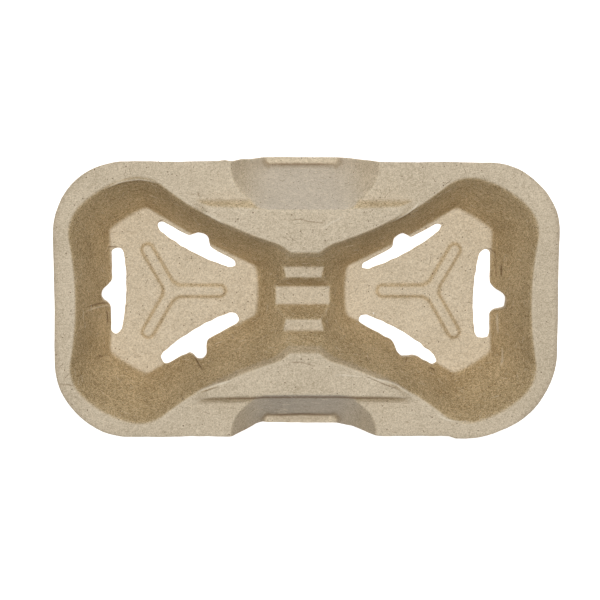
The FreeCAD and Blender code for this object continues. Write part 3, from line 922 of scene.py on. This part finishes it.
def pulp_grain(finish):
    """The speckled grain, fine and middling together, and its shade with the broad blotches."""
    fine, middling = finish.noise(*FINE_GRAIN), finish.noise(*MIDDLE_GRAIN)
    grain = finish.maths("ADD", finish.maths("MULTIPLY", fine, FINE_SHARE),
                         finish.maths("MULTIPLY", middling, MIDDLE_SHARE))
    blotches = finish.maths("SUBTRACT", finish.noise(*BROAD_GRAIN), 0.5)
    whole = finish.maths("ADD", grain, finish.maths("MULTIPLY", blotches, BROAD_SHARE))
    return grain, finish.ramp(whole, GRAIN_DARK, GRAIN_PALE, 0.0, 1.0)


def paper_colour(finish, shade):
    """The grain's colours where the sheet is level, drawn, or pressed to a notch, with lips and hollows; the
    cup floors' lighter paper is painted bounce light, the walls' brown carries painted shade, the front
    notch's darker paper is painted shade, and the lips and hollows are painted highlight and painted shade.
    """
    place = finish.add("ShaderNodeSeparateXYZ", Vector=finish.place)
    height, along = place.outputs["Z"], place.outputs["Y"]
    rim, bounce_lit_bed = finish.mixed(shade, *RIM_PAPER), finish.mixed(shade, *BOUNCE_LIT_CUP_FLOOR_PAPER)
    wall = finish.mixed(shade, *BROWN_AND_SHADED_WALL_PAPER)
    back, front = finish.mixed(shade, *NOTCH_PAPER), finish.mixed(shade, *SHADED_FRONT_NOTCH_PAPER)
    # the cup floors take the lighter paper, painted bounce light
    level = finish.mixed(finish.ramp(height, FLOOR_PAPER_END, RIM_PAPER_START, 1.0, 0.0), rim, bounce_lit_bed)
    # the front notch takes the darker paper, painted shade
    notches = finish.mixed(finish.ramp(along, -NOTCH_CHANGE, NOTCH_CHANGE, 1.0, 0.0), back, front)
    # steep walls take the brown paper: browner fibres with painted shade
    colour = finish.mixed(finish.own_value("wall_brown_and_shade"), level, wall)
    colour = finish.mixed(finish.own_value("notch_face"), colour, notches)
    # painted highlight on lips and painted shade in hollows
    lip = finish.own_value("lip")
    colour = finish.tinted(colour, lip, LIP_HIGHLIGHT_SPAN, PALE_LIP_HIGHLIGHT)
    return finish.tinted(colour, lip, HOLLOW_SHADE_SPAN, DARK_HOLLOW_SHADE)


def moulded_pulp():
    """Matt moulded pulp: grain, streaks of fibre, flecks, and the marks that the mould and hands left, with
    painted highlight and painted shade along them.
    """
    material, shader = plain_material("moulded_pulp", Roughness=PULP_ROUGHNESS, Specular_IOR_Level=PULP_SHINE)
    finish = Finish(material.node_tree)
    grain, shade = pulp_grain(finish)
    colour = paper_colour(finish, shade)

    brown = finish.streaks(*BROWN_STREAKS[0])
    for streaks in BROWN_STREAKS[1:]:
        brown = finish.maths("MAXIMUM", brown, finish.streaks(*streaks))
    colour = finish.tinted(colour, brown, BROWN_SPAN, BROWN_STREAK)
    colour = finish.tinted(colour, finish.streaks(*PALE_STREAKS), PALE_SPAN, PALE_STREAK)
    dark = finish.maths("MAXIMUM", finish.flecks(*DARK_FLECKS), finish.flecks(*SMALL_DARK_FLECKS))
    colour = finish.mixed(dark, colour, DARK_FLECK)
    colour = finish.mixed(finish.flecks(*WHITE_FLECKS), colour, WHITE_FLECK)
    # the marks' light tones are painted highlight, their dark tones dark specks and painted shade
    mark = finish.own_value("mark")
    colour = finish.tinted(colour, mark, PALE_RIDGE_HIGHLIGHT_SPAN, PALE_RIDGE_HIGHLIGHT)
    colour = finish.tinted(colour, mark, DARK_SPECK_AND_SHADE_SPAN, DARK_SPECK_AND_SHADE)
    finish.put(shader.inputs["Base Color"], colour)

    relief = finish.maths("MAXIMUM", grain, finish.maths("MULTIPLY", brown, STREAK_BUMP))
    bump = finish.add("ShaderNodeBump", Strength=BUMP_STRENGTH, Distance=BUMP_DISTANCE, Height=relief)
    finish.put(shader.inputs["Normal"], bump.outputs["Normal"])
    return material


# Fibres pressed in the upper face

DARK_FIBRE = (0.20, 0.13, 0.07)
FAIR_FIBRE = (0.70, 0.60, 0.44)
FIBRE_SHADE, FIBRE_LIGHT = 0.65, 1.35
FIBRE_ROUGHNESS, FIBRE_TONE_SCALE = 0.85, 90.0
# Faces whose normal points up by more than this carry fibres
LOOKS_UP = 0.12
SHORTEST_FIBRE, LONGEST_FIBRE, WHOLE_TURN = 0.45, 1.3, 6.2832
FIBRE_BENDS, FIBRE_SIDES = 5, 4
# Points of a fibre: share of its length along, share of its curl aside
FIBRE_START, FIBRE_START_PULL = (-0.5, 0.0), (-0.2, 1.0)
FIBRE_END_PULL, FIBRE_END = (0.25, -0.6), (0.5, 0.4)


def fibre_tone():
    """Shader group: a fibre's colour, which changes softly between a dark and a pale one."""
    group = bpy.data.node_groups.new("fibre_tone", "ShaderNodeTree")
    for name, kind in (("Dark", "Color"), ("Pale", "Color"), ("Scale", "Float")):
        group.interface.new_socket(name, in_out="INPUT", socket_type="NodeSocket" + kind)
    group.interface.new_socket("Color", in_out="OUTPUT", socket_type="NodeSocketColor")
    finish = Finish(group)
    given, result = finish.nodes.new("NodeGroupInput"), finish.nodes.new("NodeGroupOutput")
    tone = finish.add("ShaderNodeTexNoise", Vector=finish.place, Scale=given.outputs["Scale"])
    colour = finish.mixed(tone.outputs["Fac"], given.outputs["Dark"], given.outputs["Pale"])
    finish.links.new(colour, result.inputs["Color"])
    return group


def fibre_stuff(name, tone, colour):
    """The plain matt finish of single fibres."""
    material, shader = plain_material(name, Roughness=FIBRE_ROUGHNESS)
    group = material.node_tree.nodes.new("ShaderNodeGroup")
    group.node_tree = tone
    group.inputs["Dark"].default_value = (*[FIBRE_SHADE * c for c in colour], 1.0)
    group.inputs["Pale"].default_value = (*[min(1.0, FIBRE_LIGHT * c) for c in colour], 1.0)
    group.inputs["Scale"].default_value = FIBRE_TONE_SCALE
    material.node_tree.links.new(group.outputs["Color"], shader.inputs["Base Color"])
    return material


def fibre_tree():
    """Fibres scattered over the faces that look up, each turned at random in the sheet."""
    tree = bpy.data.node_groups.new("surface_fibres", "GeometryNodeTree")
    tree.interface.new_socket("Geometry", in_out="INPUT", socket_type="NodeSocketGeometry")
    for name, kind in (("Density", "Float"), ("Length", "Float"), ("Thickness", "Float"), ("Curl", "Float"),
                       ("Seed", "Int"), ("Material", "Material")):
        tree.interface.new_socket(name, in_out="INPUT", socket_type="NodeSocket" + kind)
    tree.interface.new_socket("Geometry", in_out="OUTPUT", socket_type="NodeSocketGeometry")
    build = Tree(tree)
    given, result = build.nodes.new("NodeGroupInput"), build.nodes.new("NodeGroupOutput")
    normal = build.nodes.new("GeometryNodeInputNormal")

    def spot(shares):
        along, aside = shares
        return build.add("ShaderNodeCombineXYZ", X=build.maths("MULTIPLY", given.outputs["Length"], along),
                         Y=build.maths("MULTIPLY", given.outputs["Curl"], aside)).outputs[0]

    def random_value(low, high):
        made = build.add("FunctionNodeRandomValue", Seed=given.outputs["Seed"])
        least, most = [k for k in made.inputs if k.enabled and k.type == "VALUE"][:2]
        least.default_value, most.default_value = low, high
        return [k for k in made.outputs if k.enabled][0]

    facing = build.add("ShaderNodeSeparateXYZ", Vector=normal.outputs[0])
    upward = build.add("FunctionNodeCompare", A=facing.outputs["Z"], B=LOOKS_UP)
    upward.operation = "GREATER_THAN"
    scatter = build.add("GeometryNodeDistributePointsOnFaces", Mesh=given.outputs["Geometry"],
                        Selection=upward.outputs[0], Density=given.outputs["Density"],
                        Seed=given.outputs["Seed"])
    curve = build.add("GeometryNodeCurvePrimitiveBezierSegment", Resolution=FIBRE_BENDS,
                      Start=spot(FIBRE_START), Start_Handle=spot(FIBRE_START_PULL),
                      End_Handle=spot(FIBRE_END_PULL), End=spot(FIBRE_END))
    radius = build.maths("MULTIPLY", given.outputs["Thickness"], 0.5)
    ring = build.add("GeometryNodeCurvePrimitiveCircle", Resolution=FIBRE_SIDES, Radius=radius)
    tube = build.add("GeometryNodeCurveToMesh", Curve=curve.outputs[0], Profile_Curve=ring.outputs[0],
                     Fill_Caps=True)
    laid = build.add("GeometryNodeInstanceOnPoints", Points=scatter.outputs["Points"],
                     Instance=tube.outputs[0], Rotation=scatter.outputs["Rotation"],
                     Scale=random_value(SHORTEST_FIBRE, LONGEST_FIBRE))
    way = build.add("ShaderNodeCombineXYZ", Z=random_value(0.0, WHOLE_TURN))
    turned = build.add("GeometryNodeRotateInstances", Instances=laid.outputs[0], Rotation=way.outputs[0])
    whole = build.add("GeometryNodeRealizeInstances", Geometry=turned.outputs[0])
    finished = build.add("GeometryNodeSetMaterial", Geometry=whole.outputs[0],
                         Material=given.outputs["Material"])
    build.links.new(finished.outputs[0], result.inputs[0])
    return tree


def placed(name, data):
    """A new object in the scene, at the origin."""
    thing = bpy.data.objects.new(name, data)
    bpy.context.scene.collection.objects.link(thing)
    return thing


def scattered_fibres(name, sheet, tree, material, **sizes):
    """One piece of fibres over the sheet, as a plain mesh."""
    piece = placed(name, sheet.data)
    modifier = piece.modifiers.new("fibres", "NODES")
    modifier.node_group = tree
    for item in tree.interface.items_tree:
        if item.in_out == "INPUT" and item.name in sizes:
            modifier[item.identifier] = sizes[item.name]
        if item.in_out == "INPUT" and item.name == "Material":
            modifier[item.identifier] = material
    graph = bpy.context.evaluated_depsgraph_get()
    mesh = bpy.data.meshes.new_from_object(piece.evaluated_get(graph))
    piece.modifiers.clear()
    piece.data = mesh
    return piece


# Stage, in metres

FLOOR_HALF, FLOOR_LEVEL = 3, -0.0004
FLOOR_COLOUR, FLOOR_ROUGHNESS, FLOOR_GLOW = (0.9, 0.9, 0.9, 1.0), 0.9, 0.6
WHITE = (1.0, 1.0, 1.0, 1.0)
ROOM_LIGHT = 0.26
KEY_PLACE, KEY_SIZE, KEY_POWER = (-0.05, 0.27, 1.6), (0.60, 0.50), 18.1

# The camera above the tray, tilted a little from the vertical: millimetres and degrees
CAMERA_DISTANCE, CAMERA_TILT, CAMERA_LEAN, CAMERA_ROLL = 818.0, 7.30, 1.96, 0.02
# Pixels for each mm at the rim, in a picture this wide, and the tray's middle in that picture
PIXELS_FOR_MM, PICTURE_WIDTH = 2.3613, 600.0
MIDDLE_ACROSS, MIDDLE_DOWN = 304.4, 301.6
SENSOR_WIDTH = 36.0
NEAR_LIMIT, FAR_LIMIT = 0.01, 20.0


def pale_floor():
    mesh = bpy.data.meshes.new("floor")
    corners = [(-FLOOR_HALF, -FLOOR_HALF), (FLOOR_HALF, -FLOOR_HALF), (FLOOR_HALF, FLOOR_HALF),
               (-FLOOR_HALF, FLOOR_HALF)]
    mesh.from_pydata([(x, y, FLOOR_LEVEL) for x, y in corners], [], [(0, 1, 2, 3)])
    floor = placed("floor", mesh)
    material, _ = plain_material("pale_floor", Base_Color=FLOOR_COLOUR, Roughness=FLOOR_ROUGHNESS,
                                 Emission_Color=WHITE, Emission_Strength=FLOOR_GLOW)
    mesh.materials.append(material)


def soft_light(name, place, target, size, power):
    data = bpy.data.lights.new(name, "AREA")
    data.shape = "RECTANGLE"
    data.size, data.size_y = size
    data.energy = power
    light = placed(name, data)
    light.location = place
    light.rotation_euler = (Vector(target) - Vector(place)).to_track_quat("-Z", "Y").to_euler()


def studio():
    world = bpy.context.scene.world or bpy.data.worlds.new("studio")
    bpy.context.scene.world = world
    world.use_nodes = True
    background = world.node_tree.nodes["Background"]
    background.inputs["Color"].default_value = WHITE
    background.inputs["Strength"].default_value = ROOM_LIGHT
    soft_light("key", KEY_PLACE, (0, 0, 0), KEY_SIZE, KEY_POWER)
    bpy.context.scene.view_settings.view_transform = "Standard"


def photograph_camera():
    """The camera's place follows from where the tray's middle shows in the picture."""
    tilt, lean, roll = (math.radians(a) for a in (CAMERA_TILT, CAMERA_LEAN, CAMERA_ROLL))
    turn = Matrix.Rotation(roll, 3, "Z") @ Matrix.Rotation(lean, 3, "Y") @ Matrix.Rotation(tilt, 3, "X")
    focal = PIXELS_FOR_MM * CAMERA_DISTANCE
    aside = (MIDDLE_ACROSS - PICTURE_WIDTH / 2) / focal * CAMERA_DISTANCE
    down = (MIDDLE_DOWN - PICTURE_WIDTH / 2) / focal * CAMERA_DISTANCE
    place = -(turn.transposed() @ Vector((aside, -down, -CAMERA_DISTANCE))) + Vector((MOULD_X, MOULD_Y, RIM))
    data = bpy.data.cameras.new("camera")
    data.sensor_width = SENSOR_WIDTH
    data.lens = SENSOR_WIDTH * focal / PICTURE_WIDTH
    data.clip_start, data.clip_end = NEAR_LIMIT, FAR_LIMIT
    camera = placed("camera", data)
    camera.matrix_world = Matrix.Translation(place * MM) @ turn.transposed().to_4x4()
    bpy.context.scene.camera = camera


# The dressed part; fibre sizes in metres, and fibres for each square metre

DARK_FIBRES = dict(Density=9000.0, Length=0.0022, Thickness=0.00012, Curl=0.0005, Seed=5)
PALE_FIBRES = dict(Density=14000.0, Length=0.0030, Thickness=0.00013, Curl=0.0007, Seed=8)

photograph_camera()
studio()
pale_floor()
sheet = formed_sheet()
sheet.materials.append(moulded_pulp())
tray = placed("formed_tray", sheet)
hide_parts("carrier_tray")
tree, tone = fibre_tree(), fibre_tone()
dark, pale = fibre_stuff("dark_fibre", tone, DARK_FIBRE), fibre_stuff("pale_fibre", tone, FAIR_FIBRE)
pieces = [tray]
pieces.append(scattered_fibres("dark_fibres", tray, tree, dark, **DARK_FIBRES))
pieces.append(scattered_fibres("pale_fibres", tray, tree, pale, **PALE_FIBRES))
for piece in pieces:
    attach(piece, "root")
